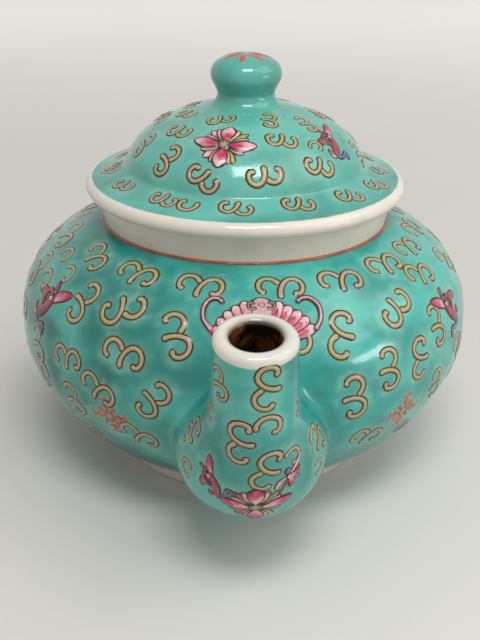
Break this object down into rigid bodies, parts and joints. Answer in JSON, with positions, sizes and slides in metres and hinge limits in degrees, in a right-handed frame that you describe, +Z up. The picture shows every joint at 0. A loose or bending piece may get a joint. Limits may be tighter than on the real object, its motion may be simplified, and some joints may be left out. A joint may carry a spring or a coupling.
{
  "type": "teapot",
  "caption": "Squat round porcelain teapot with a short thick spout, a rear loop handle and a lift-off domed lid with a round knob, for brewing and pouring tea.",
  "frame": {"origin": "on the table, on the axis that the pot is turned about, under the centre of the body", "axes": "+Z up; -Y along the spout and +Y along the loop handle; +X to the right when the spout points at the viewer"},
  "size_m": [0.144, 0.2054, 0.128],
  "materials": {
    "turquoise_glaze": "glossy mottled turquoise glaze over white porcelain",
    "white_glaze": "glossy clear glaze over white porcelain",
    "bare_porcelain": "matt unglazed porcelain",
    "painted_enamel": "thin raised overglaze enamel, satin to glossy",
    "iron_red_enamel": "thin flat iron-red overglaze enamel"
  },
  "bodies": {
    "pot": {"pot_body": "turquoise_glaze", "neck_collar": "white_glaze", "foot_ring": "bare_porcelain", "spout": "turquoise_glaze", "loop_handle": "turquoise_glaze"},
    "lid_carrier": {"lid_locating_ring": "bare_porcelain"},
    "lid": {"lid_dome": "turquoise_glaze", "lid_knob": "turquoise_glaze"}
  },
  "joints": [
    {"name": "lid_lift", "type": "slide", "parent": "pot", "child": "lid_carrier", "axis": [0, 0, 1], "range_m": [0, 0.06]},
    {"name": "lid_turn", "type": "hinge", "parent": "lid_carrier", "child": "lid", "pos_m": [0, 0, 0.0886], "axis": [0, 0, 1], "continuous": true}
  ]
}
